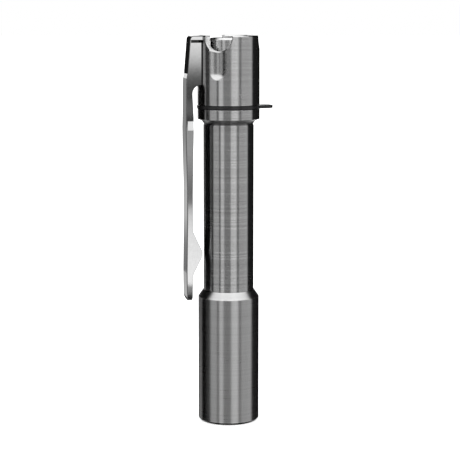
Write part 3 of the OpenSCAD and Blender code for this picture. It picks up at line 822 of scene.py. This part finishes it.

# ---------------------------------------------------------------- tail cap

# slot 2 is the notch wall with its painted highlight
CAP = [steel_tail, steel_flute, notch_painted_light, steel_mill, steel_mill, steel_edge]
ball_z = 83.5 + math.sqrt(9 - (9.34 - 7.5) ** 2)
notch_z = 93.6
cap_me, cap_st = spin("cap", [
    (6.98, 77.4, .06), (7.35, 77.4, .1), (7.5, 77.55, .1), (7.5, 93.75, .12), (7.25, 94, .12), (6.25, 94, .06), (6, 93.75, .06), (6, 90),
    (4.75, 90, .06), (4.75, 89.75, .03), (5.33, 89.75), (5.33, 89.1), (4.75, 89.1, .03), (4.75, 88.8, .05), (5.6, 88.8), (5.6, 83),
    (6.77, 83), (6.77, 79.25), (6.83, 79.15), (6.83, 77.55, .05)], CAP, 160)
land = [(-4.9, -3.6), (-4.9, 3.6)] + [(-math.sqrt(6.3 ** 2 - y * y), y) for y in np.linspace(3.6, -3.6, 25)]
land_me = slab("land", land, 89.9, 92.86, CAP, 3)
seat_me = slab("seat", [(-9, -3.2), (-4.8, -3.2), (-4.8, 3.2), (-9, 3.2)], 92.87, 95.87, CAP, 3)
flute_me = spin("flute", [(0, ball_z - 3)] + smooth_run(arc(0, ball_z, 3, -90, 0, 20)[1:]) + [(3, 110), (0, 110)], CAP, 96, index=1)[0]
notch_me = spin("notch", [(0, 5.2), (3.3, 5.2), (3.3, 9.2), (0, 9.2)], CAP, 128, index=2)[0]


def notch_break(width, n=128):
    """Cutter for the chamfer that follows the notch's edge round the barrel and across the flute."""
    verts = [(5.6, 0, notch_z), (9.4, 0, notch_z)]
    for row in range(3):
        for k in range(n):
            a = 2 * math.pi * (k + .37) / n
            y = 3.3 * math.cos(a)
            x = math.sqrt(7.5 ** 2 - y * y)
            if abs(y) < 2.1 and a > math.pi:
                x = min(x, 9.34 - math.sqrt(9 - y * y))
            w = min(width, x - 6.08)
            x, r = ((x - w, 3.29), (x + .3, 3.3 + w + .3), (9.4, 3.3 + w + .3))[row]
            verts.append((x, r * math.cos(a), notch_z + r * math.sin(a)))
    faces = []
    for k in range(n):
        l = (k + 1) % n
        faces.append([0, 2 + l, 2 + k])
        faces.append([1, 2 + 2 * n + k, 2 + 2 * n + l])
        for row in (0, 1):
            b = 2 + row * n
            faces.append([b + k, b + l, b + n + l, b + n + k])
    me = mesh_from("notch_break", verts, faces, None, None, CAP, [5] * len(faces))
    bm = bmesh.new()
    bm.from_mesh(me)
    bmesh.ops.recalc_face_normals(bm, faces=bm.faces)
    bm.to_mesh(me)
    bm.free()
    return me


break_me = notch_break(.3)
# the notch tool turns about the radial direction: its own z becomes the radius
to_radial = Matrix(((0, 0, 1, 0), (0, 1, 0, 0), (-1, 0, 0, 0), (0, 0, 0, 1)))
screw_me = spin("screw_way", [(0, 89.8), (.52, 89.8), (.52, 94.8), (0, 94.8)], CAP, 32, index=4)[0]
ops = [("UNION", land_me, I4)]
for a in (0, 120, 240):
    ops.append(("DIFFERENCE", flute_me, turnz(a) @ move(9.34)))
    ops.append(("DIFFERENCE", notch_me, turnz(a) @ move(0, 0, notch_z) @ to_radial))
    ops.append(("DIFFERENCE", break_me, turnz(a)))
ops.append(("DIFFERENCE", seat_me, I4))
for s in (-1, 1):
    ops.append(("DIFFERENCE", screw_me, move(-6.3, 1.6 * s)))
cap_me = weld(carve(cap_me, ops), 1e-8)


def cap_rule(index, v, f):
    a = round(math.degrees(math.atan2(v[1], v[0])) / 120) * 120
    ca, sa = math.cos(math.radians(a)), math.sin(math.radians(a))
    x, y, z = v[0] * ca + v[1] * sa, -v[0] * sa + v[1] * ca, v[2]
    if index == 1:
        n = np.array([9.34 - x, -y, 0.0 if z >= ball_z else ball_z - z])
    elif index == 2:
        n = np.array([0.0, -y, notch_z - z])
    elif index == 5:
        on_flute = abs(y) < 2.15 and z < notch_z and x < 7.0
        n = unit(np.array([0.0, -y, notch_z - z])) + (unit(np.array([9.34 - x, -y, 0.0])) if on_flute else unit(np.array([x, y, 0.0])))
    elif index == 4:
        side = 1 if v[1] > 0 else -1
        return f if abs(f[2]) > .9 else unit(np.array([-6.3 - v[0], 1.6 * side - v[1], 0.0]))
    else:
        return f
    n = unit(n)
    n = np.array([n[0] * ca - n[1] * sa, n[0] * sa + n[1] * ca, n[2]])
    return n if float(n @ f) > 0.5 else f


recut_normals(cap_me, cap_st, cap_rule)
piece("tail_barrel", cap_me, "tail_cap")

# ---------------------------------------------------------------- clip

T, W2, OUT, INN, END, SLIT = .8, 3.1, 10.65, 9.2, 29.9, 92.35
spine = [(-OUT + .25, 85), (-OUT + .03, 83.9), (-OUT - .05, 82.4), (-OUT - .1, 76), (-OUT - .2, 72), (-OUT - .16, 68),
         (-OUT - .03, 62.5), (-OUT + .08, 57), (-OUT + .07, 50), (-OUT - .01, 44), (-OUT - .12, 37), (-OUT - .1, 34),
         (-OUT - .06, END + 2.2), (-OUT - .02, END + 1.2), (-OUT + .08, END + .6), (-OUT + .2, END + .3), (-OUT + .34, END + .12),
         (-OUT + .5, END), (-OUT + .7, END - .2)]
flange = [(-9.3, SLIT), (-9.55, SLIT - .05), (-9.7, SLIT - .4)] + spine + [
    (-INN - .43, END - .2), (-INN - .1, END + 1.3), (-INN - .1, 33), (-INN, 36.1), (-INN + .12, 36.8), (-7.02, 40.95), (-6.9, 41.25),
    (-6.9, 42.2), (-7.02, 42.5), (-INN + .12, 46.9), (-INN, 47.6), (-INN, 56), (-INN + .12, 65), (-INN + .26, 70.5), (-INN + .26, 74.5),
    (-INN, 80)] + arc(-INN + 2, 80.3, 2, 180, 98, 10) + [(-5, 82.3), (-5, SLIT - .3), (-5.2, SLIT)]
web_out = [(-4.95, 93.95), (-8.85, 93.95)] + arc(-8.85, 93.05, .9, 90, 172, 8)[1:] + spine + [
    (-INN - .43, END - .2), (-INN - .1, END + 1.3), (-INN - .1, 33), (-4.95, 92.5)]
web_cut = [(-4, 92.96), (-8.75, 92.96), (-9.02, 92.68)] + [(x + T, z) for x, z in spine if z > END + 1.9] + [
    (-OUT + T, END + 1.9), (-OUT + T + .2, END + 1.2), (-INN, END + .8), (-4, END + .8)]
# slot 4 is the painted-shade dark steel and slot 5 the painted-shade fold steel
SHEET = [steel_sheet] * 4 + [inside_painted_shade, fold_painted_shade, steel_sheet]


def side_prism(name, pts, y0, y1):
    """A prism of (x, z) points between two y planes."""
    return upright(slab(name, pts, -y1, -y0, SHEET))


web = carve(side_prism("web", web_out, -W2, W2), [("DIFFERENCE", side_prism("webcut", web_cut, -W2 - 1, W2 + 1), I4)])
rib = [(-9.4, 90.4), (-7.52, 92.1), (-7.52, 93.1), (-9.4, 93.1)]
clip_ops = [("UNION", side_prism("flange", flange, -W2, -W2 + T), I4), ("UNION", side_prism("flange", flange, W2 - T, W2), I4),
            ("UNION", side_prism("rib", rib, -1.1, 1.1), I4),
            ("DIFFERENCE", slab("slit", [(-9.5, W2 - T), (-3.5, W2 - T), (-3.5, W2 + 1), (-9.5, W2 + 1)], SLIT, 92.96, SHEET), I4),
            ("DIFFERENCE", slab("slit", [(-9.5, -W2 - 1), (-3.5, -W2 - 1), (-3.5, T - W2), (-9.5, T - W2)], SLIT, 92.96, SHEET), I4),
            ("DIFFERENCE", spin("bodycut", [(0, 70), (7.7, 70), (7.7, 92.87), (0, 92.87)], SHEET, 160, index=2)[0], I4)]
sink_tool = spin("countersink", [(0, 92), (.62, 92), (.62, 93.28), (1.12, 93.78), (1.12, 94.77), (0, 94.77)], SHEET, 40, index=3)[0]
for s in (-1, 1):
    clip_ops.append(("DIFFERENCE", sink_tool, move(-6.3, 1.6 * s)))
clip_me = weld(carve(weld(carve(web, clip_ops[:3], "MANIFOLD"), 1e-8), clip_ops[3:]), 1e-8)


def soften_clip(me):
    """Rounds the folds widely and every other edge finely."""
    bm = bmesh.new()
    bm.from_mesh(me)
    bmesh.ops.dissolve_limit(bm, angle_limit=math.radians(0.4), verts=bm.verts, edges=bm.edges, delimit={"NORMAL", "MATERIAL"})
    layer = bm.edges.layers.float.get("bevel_weight_edge") or bm.edges.layers.float.new("bevel_weight_edge")
    for e in bm.edges:
        if len(e.link_faces) != 2:
            continue
        ang = e.calc_face_angle(0.0)
        if ang < math.radians(28):
            continue
        n1, n2 = e.link_faces[0].normal, e.link_faces[1].normal
        mid = (e.verts[0].co + e.verts[1].co) / 2 / MM
        side = max(abs(n1.y), abs(n2.y)) > .95
        other = n1 if abs(n1.y) < abs(n2.y) else n2
        out = other.x < -.5 or (mid.z > 93 and other.z > .1)
        e[layer] = 1.0 if side and out else 0.5 if side and mid.z < 82.5 and abs(mid.y) > 2.9 else 0.25
        # screw seats stay crisp
        if abs(mid.x + 6.3) < 1.2 and mid.z > 92.6 and math.hypot(mid.x + 6.3, abs(mid.y) - 1.6) < 1.25:
            e[layer] = 0.08
    bm.to_mesh(me)
    bm.free()
    o = add("clip_blank", me)
    mod = o.modifiers.new("edges", "BEVEL")
    mod.width, mod.segments, mod.limit_method, mod.profile = .26 * MM, 3, "WEIGHT", 0.5
    mod.use_clamp_overlap, mod.offset_type, mod.material = True, "OFFSET", 1
    bpy.context.view_layer.update()
    got = bpy.data.meshes.new_from_object(o.evaluated_get(bpy.context.evaluated_depsgraph_get()))
    bpy.data.objects.remove(o, do_unlink=True)
    return got


def clip_normals(me):
    """Flat faces stay flat, cut curves are exact, and each rounded edge runs from one face's normal to the other's."""
    me.polygons.foreach_set("use_smooth", [True] * len(me.polygons))
    out = [None] * len(me.loops)
    at_vertex, rounds = {}, {}
    for p in me.polygons:
        f = np.array(p.normal)
        for li in p.loop_indices:
            vi = me.loops[li].vertex_index
            v = np.array(me.vertices[vi].co) / MM
            n = f
            if p.material_index == 2 and abs(f[2]) < .5:
                n = unit(np.array([-v[0], -v[1], 0.0]))
            elif p.material_index == 3 and abs(f[2]) < .95:
                side = 1.6 if v[1] > 0 else -1.6
                d = unit(np.array([-6.3 - v[0], side - v[1], 0.0]))
                n = unit(d * math.hypot(f[0], f[1]) + np.array([0, 0, f[2]]))
            if float(n @ f) < 0.5:
                n = f
            if p.material_index == 1:
                rounds.setdefault(vi, []).append(f * max(p.area, 1e-12))
            else:
                at_vertex.setdefault(vi, []).append(n)
                out[li] = tuple(n)
    for p in me.polygons:
        if p.material_index != 1:
            continue
        f = np.array(p.normal)
        for li in p.loop_indices:
            vi = me.loops[li].vertex_index
            near = max(at_vertex.get(vi, []), key=lambda q: float(q @ f), default=None)
            if near is None or float(near @ f) < 0.45:
                near = unit(sum(rounds[vi]))
            out[li] = tuple(near)
    me.normals_split_custom_set(out)
    return me


# the free end is a shallow round tongue
tongue = [(-3.6, END - 1), (3.6, END - 1)] + [(.3 * k, END + 7.21 - math.sqrt(7.21 ** 2 - (.3 * k) ** 2)) for k in range(12, -13, -1)]
tongue_tool = slab("tongue", tongue, -12, -8, SHEET)
tongue_tool.transform(Matrix(((0, 0, 1, 0), (1, 0, 0, 0), (0, 1, 0, 0), (0, 0, 0, 1))))


# a shallow pressed facet on each flange
def facet_tool(side):
    lo, hi, t = 71.2, 73.74, math.tan(math.radians(1.8))
    pts = [(lo, -W2 - (71.57 - lo) * t), (hi, -W2 + (hi - 71.57) * t), (hi, -W2 - .4), (lo, -W2 - .4)]
    verts = [(x, y * side, z) for x in (-10.38, -8.8) for z, y in pts]
    faces = [[0, 1, 2, 3], [7, 6, 5, 4]] + [[i, 4 + i, 4 + (i + 1) % 4, (i + 1) % 4] for i in range(4)]
    me = mesh_from("facet_tool", verts, faces, None, None, SHEET, [6] * 6)
    bm = bmesh.new()
    bm.from_mesh(me)
    bmesh.ops.recalc_face_normals(bm, faces=bm.faces)
    bm.to_mesh(me)
    bm.free()
    return me


clip_me = carve(soften_clip(clip_me), [("DIFFERENCE", facet_tool(1), I4), ("DIFFERENCE", facet_tool(-1), I4),
                                       ("DIFFERENCE", tongue_tool, I4)], "MANIFOLD")
clip_me = clip_normals(weld(clip_me, 1e-8))
# below, inner bevels, inner faces, the rib and the slits get slot 4, the painted-shade dark steel
# below, the outer fold bevels get slot 5, the painted-shade fold steel
for p in clip_me.polygons:
    c, f = Vector(p.center) / MM, p.normal
    if p.material_index == 1 and c.z < 92.2 and c.z > 30.2 and c.x < -9.5 and abs(c.y) > 2.75 and f.x < -.1 and abs(f.y) > .1:
        p.material_index = 5
    if p.material_index == 1 and 30.8 < c.z < 82.2 and c.x > -9.5 and abs(c.y) > 2.9 and f.x > .1 and abs(f.y) > .1:
        p.material_index = 4
    if p.material_index == 0 and c.z < 92.9 and c.z > 30.65 and ((f.x > .7 and c.x < -9.3 and abs(c.y) < 2.4) or (abs(c.y) < 2.5 and f.y * c.y < -1.5)):
        p.material_index = 4
    if c.z < 92.94 and ((abs(c.y) < 1.2 and -9.45 < c.x < -7.45) or (2.2 < abs(c.y) < 2.42 and SLIT < c.z and c.x > -9.7)):
        p.material_index = 4
piece("pocket_clip", clip_me, "clip")

screw_one, screw_st = spin("screw", [(0, 90), (.5, 90, .08), (.5, 93.36), (1, 93.86, .04), (1, 93.92, .03), (0, 93.92)],
                           [steel_screw, steel_screw], 48)
hexkey = slab("hexkey", [(.45 * math.cos(math.radians(60 * k)), .45 * math.sin(math.radians(60 * k))) for k in range(6)], 93.5, 94.5,
              [steel_screw, steel_screw], 1)
screw_one = carve(screw_one, [("DIFFERENCE", hexkey, I4)])
recut_normals(screw_one, screw_st, lambda i, v, f: f)
screw_bm = bmesh.new()
for s in (-1, 1):
    part = screw_one.copy()
    part.transform(move(-6.3, 1.6 * s))
    screw_bm.from_mesh(part)
screws = bpy.data.meshes.new("screws")
screw_bm.to_mesh(screws)
screw_bm.free()
screws.materials.append(steel_screw)
screws.polygons.foreach_set("material_index", [0] * len(screws.polygons))
piece("clip_screw_pair", by_angle(screws, 25), "clip_screws")

# ---------------------------------------------------------------- button and switch

turn("push_button", [(0, 88.05), (5.2, 88.05, .05), (5.3, 88.15, .05), (5.3, 88.65, .05), (5.2, 88.75, .05), (4.7, 88.75, .05),
                     (4.7, 92.98, .08), (4.25, 93.46, .06), (4.0, 93.5, .1), (3.6, 93.4, .2), (0, 93.3)],
     steel_button, "tail_button", 120, 4)
torus("button_o_ring", 5.03, .28, 89.425, "button_seal")
turn("plunger", [(0, 86.05), (2.2, 86.05, .06), (2.2, 86.35, .08), (1.5, 86.35, .08), (1.5, 88.03, .1), (0, 88.03)], white_nylon,
     "switch_plunger", 64)
sw_spring = piece("return_spring", coil_mesh("ss", 1.7, 1.7, 84.33, 86.03, 2.5, .12, gold, 32, 10), "switch_spring")
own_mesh(sw_spring)
turn("switch_case", [(1.56, 86.4, .05), (2.6, 86.4), (2.6, 84.32, .06), (5.5, 84.32, .1), (5.5, 86.8, .25), (1.56, 86.8, .06)], nylon,
     "switch_housing", 96)
turn("switch_disc", [(0, 83.5), (5.5, 83.5, .05), (5.5, 84.3, .05), (0, 84.3)], pcb, "switch_board")
sr_me, _ = spin("sr", [(3.7, 83.02, .06), (5.55, 83.02, .06), (5.55, 83.48, .06), (3.7, 83.48, .06)], [brass, brass], 96)
sr_tool = slab("srt", [(3.4, -.5), (4.6, -.5), (4.6, .5), (3.4, .5)], 82.8, 83.8, [brass, brass], 1)
piece("switch_retainer", by_angle(carve(sr_me, [("DIFFERENCE", sr_tool, I4), ("DIFFERENCE", sr_tool, turnz(180))])), "switch_ring")
piece("negative_spring", coil_mesh("ns", 2.2, 3.2, 78.25, 83.48, 4.5, .28, gold), "battery_spring")

# carried-over CAD nodes, if any are left, take the same looks
for n, o in frame["nodes"].items():
    o.data.materials.clear()
    o.data.materials.append(SLOT_LOOK[SLOT_OF[n]])

# ---------------------------------------------------------------- studio

floor_bm = bmesh.new()
bmesh.ops.create_circle(floor_bm, cap_ends=True, cap_tris=False, segments=96, radius=6.0)
floor_me = bpy.data.meshes.new("studio_floor")
floor_bm.to_mesh(floor_me)
floor_bm.free()
floor = add("studio_floor", floor_me)
floor.location.z = -0.00012
fm, ft, fb = blank("pale_floor")
fmm = node(ft, "ShaderNodeTexCoord").outputs["Object"]
fn = noise3(ft, fmm, 40.0, 3, 0.5)
ft.links.new(tint(ft, centred(ft, fn, 0.006), (0.86, 0.86, 0.86)), fb.inputs["Base Color"])
fb.inputs["Roughness"].default_value = 0.9
fb.inputs["Specular IOR Level"].default_value = 0.0
fb.inputs["Emission Color"].default_value = (1, 1, 1, 1)
fb.inputs["Emission Strength"].default_value = 0.45
see = node(ft, "ShaderNodeBsdfTransparent")
back = node(ft, "ShaderNodeNewGeometry").outputs["Backfacing"]
fmix = node(ft, "ShaderNodeMixShader", {0: back, 1: fb.outputs[0], 2: see.outputs[0]})
ft.links.new(fmix.outputs[0], [n for n in ft.nodes if n.type == "OUTPUT_MATERIAL"][0].inputs[0])
floor_me.materials.append(fm)
floor.visible_glossy = False

world = bpy.data.worlds.new("studio")
scene.world = world
world.use_nodes = True
world.cycles.sampling_method = "NONE"
wt = world.node_tree
wt.nodes.clear()
d = node(wt, "ShaderNodeSeparateXYZ", {0: node(wt, "ShaderNodeTexCoord").outputs["Generated"]}).outputs
side = calc(wt, "MULTIPLY_ADD", d[0], 0.9848, calc(wt, "MULTIPLY", d[1], -0.1736))
toward = calc(wt, "MULTIPLY_ADD", d[0], -0.1736, calc(wt, "MULTIPLY", d[1], -0.9848))
phi = calc(wt, "MULTIPLY", calc(wt, "ARCTAN2", side, toward), 180 / math.pi)
elev = calc(wt, "MULTIPLY", calc(wt, "ARCSINE", d[2]), 180 / math.pi)
TOP = 1.6


def band(stops):
    """Light levels against the azimuth in degrees, as a ramp."""
    t = calc(wt, "MULTIPLY_ADD", phi, 1 / 360, 0.5)
    return calc(wt, "MULTIPLY", ramp(wt, t, [((p + 180) / 360, v / TOP) for p, v in stops]), TOP)


level = band([
    (-180, 1.2), (-172, 1.2), (-168, .02), (-127, .002), (-96, .004), (-93, .037), (-76, .037), (-72, .46), (-46, .46),
    (-43, .09), (-38, .09), (-35.5, .71), (-22.5, .71), (-18, .24), (8, .24), (13, .81), (34, .81), (38, .49), (42, .17), (47, .17),
    (51, .47), (75, .47), (90, .55), (96, .52), (101, .02), (150, .01), (166, .01), (171, 1.2), (180, 1.2)])
# strip behind the left, which only the clip's web reflects
strip = calc(wt, "MULTIPLY", step_map(wt, phi, -173.5, -172), step_map(wt, phi, -151, -149.5, 1.0, 0.0))


def mix_value(fac, a, b):
    """a where fac is 0, b where it is 1."""
    return calc(wt, "MULTIPLY_ADD", fac, calc(wt, "SUBTRACT", b, a), a)


# a paler patch low on the left, which only the head's edge reflects
patch = calc(wt, "MULTIPLY", step_map(wt, phi, -169, -167), step_map(wt, phi, -127, -121, 1.0, 0.0))
patch = calc(wt, "MULTIPLY", patch, calc(wt, "MULTIPLY", step_map(wt, elev, -13, -11.5, 1.0, 0.0), step_map(wt, elev, -24, -20)))
level = mix_value(patch, level, .42)
# the window in front right, which the clip's flat flange mirrors
TS = 18.0


def rise(stops):
    t = calc(wt, "MULTIPLY_ADD", elev, -1 / TS, 0.0)
    return calc(wt, "MULTIPLY", ramp(wt, t, [(-e / TS, v / TOP) for e, v in stops]), TOP)


facet = rise([(0, 1.15), (-1.04, 1.15), (-1.1, 1.05), (-1.57, .84), (-1.87, .62), (-2.17, .32), (-2.46, .158), (-2.8, .09), (-2.95, .1),
              (-3.18, .08), (-3.44, .144), (-3.74, .155), (-4.03, .055), (-4.2, .055), (-4.3, .43), (-5.18, .44), (-5.52, .4), (-6.69, .22),
              (-7.07, .264), (-7.18, .33), (-7.33, .6), (-7.6, .85), (-8.2, 1.08), (-10.24, 1.25), (-10.28, .63), (-10.32, .38),
              (-10.47, .327), (-10.62, .162), (-10.69, .015), (-11.5, .02), (-12, 1.0), (-18, 1.0)])
strip_level = rise([(0, .01), (-.95, .01), (-1.15, .29), (-4.4, .29), (-5, .32), (-5.5, .38), (-6.3, .47), (-6.9, .54), (-7.5, .54),
                    (-8.3, .3), (-8.6, .24), (-9.45, .195), (-9.6, .45), (-10.6, .53), (-11.5, .53), (-13, .04), (-18, .04)])
glint = calc(wt, "MULTIPLY", step_map(wt, elev, .7, .85), step_map(wt, elev, 1.5, 1.7, .9, 0.0))
level = mix_value(strip, level, calc(wt, "ADD", strip_level, glint))
window = calc(wt, "MULTIPLY", step_map(wt, phi, 13.5, 14.3), step_map(wt, phi, 23.8, 24.6, 1.0, 0.0))
window = calc(wt, "MULTIPLY", window, calc(wt, "MULTIPLY", step_map(wt, elev, -17.5, -17), step_map(wt, elev, -0.2, 0.2, 1.0, 0.0)))
level = mix_value(window, level, facet)
apart = calc(wt, "ABSOLUTE", phi)
# behind the object the light stops a little above and below the horizon
rear = calc(wt, "MULTIPLY", step_map(wt, apart, 120, 130), step_map(wt, elev, 10, 16))
level = mix_value(rear, level, .01)
start = step_map(wt, apart, 100, 125, 30.0, 56.0)
over = calc(wt, "MULTIPLY", calc(wt, "SUBTRACT", elev, start), 1 / 11, clamp=True)
level = mix_value(over, level, 1.6)
low = step_map(wt, apart, 140, 155, .04, .6)
level = mix_value(step_map(wt, elev, -38, -22, 1.0, 0.0), level, low)
level = mix_value(step_map(wt, elev, -58, -48, 1.0, 0.0), level, .03)
path = node(wt, "ShaderNodeLightPath").outputs
level = mix_value(path["Is Diffuse Ray"], level, 1.5)
level = mix_value(path["Is Camera Ray"], level, 1.0)
bg = node(wt, "ShaderNodeBackground", {"Color": node(wt, "ShaderNodeCombineColor", {0: level, 1: level, 2: level}).outputs[0], "Strength": 1.0})
wt.links.new(bg.outputs[0], node(wt, "ShaderNodeOutputWorld").inputs[0])

scene.view_settings.view_transform = "Standard"
scene.view_settings.look = "None"

cam_data = bpy.data.cameras.new("camera")
cam_data.lens, cam_data.sensor_width = 118.49, 36.0
cam_data.shift_x, cam_data.shift_y = -0.4 / 460, 0.25 / 460
cam_data.clip_start, cam_data.clip_end = 0.01, 20.0
cam = bpy.data.objects.new("camera", cam_data)
scene.collection.objects.link(cam)
cam.location = (-0.1736 * 0.365, -0.9848 * 0.365, 0.0995)
cam.rotation_euler = (math.radians(90 - 8.2), 0, math.radians(-10.068))
scene.camera = cam

bpy.context.view_layer.update()
